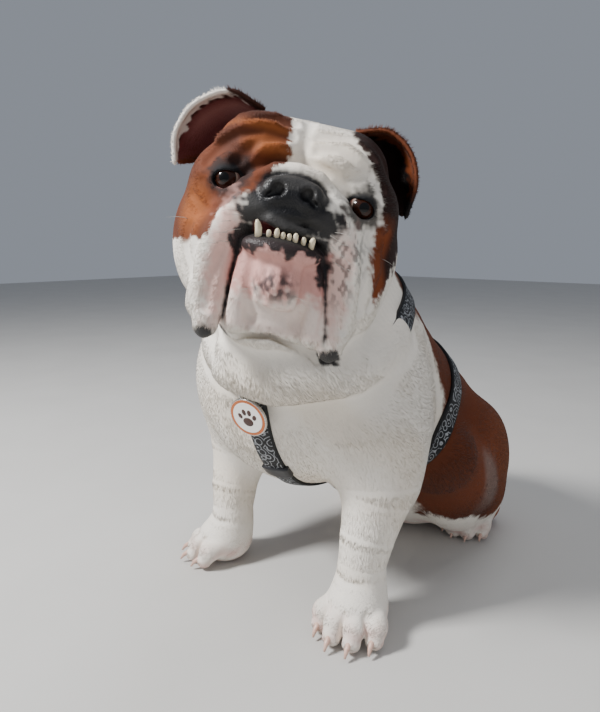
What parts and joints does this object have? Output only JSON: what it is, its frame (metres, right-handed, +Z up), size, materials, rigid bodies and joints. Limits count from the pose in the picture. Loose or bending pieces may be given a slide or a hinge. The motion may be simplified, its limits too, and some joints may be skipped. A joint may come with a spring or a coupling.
{
  "type": "english bulldog",
  "caption": "Life-size seated English bulldog, head turned to its left and tilted, wearing a webbing harness with a round tag; a still model with no moving parts.",
  "frame": {"origin": "on the floor, under the middle of the model's box in X and Y", "axes": "+Z up; the body faces -Y; the dog's own left side is at +X; the head is turned about 42 degrees to its left"},
  "size_m": [0.3123, 0.535, 0.5408],
  "materials": {
    "coat_head": "short smooth coat, brown on the right half and white on the left, with bare black and pink lips",
    "coat_white": "short smooth white coat",
    "coat_brown": "short smooth red-brown brindle coat",
    "coat_ear": "short black-brown coat",
    "eye": "dark brown wet glossy eye",
    "webbing": "black woven webbing with a small pale pattern",
    "slider": "dark moulded keeper",
    "tag": "enamelled metal disc with a ring"
  },
  "bodies": {
    "root": {"head": "coat_head", "neck": "coat_white", "torso": "coat_brown", "tail": "coat_white", "ear_left": "coat_ear", "ear_right": "coat_white", "eye_left": "eye", "eye_right": "eye", "foreleg_left": "coat_white", "foreleg_right": "coat_white", "forepaw_left": "coat_white", "forepaw_right": "coat_white", "thigh_left": "coat_brown", "thigh_right": "coat_brown", "hind_paw_left": "coat_white", "hind_paw_right": "coat_white", "neck_strap": "webbing", "chest_strap": "webbing", "girth_strap": "webbing", "back_strap": "webbing", "slider": "slider", "tag": "tag"}
  },
  "joints": []
}
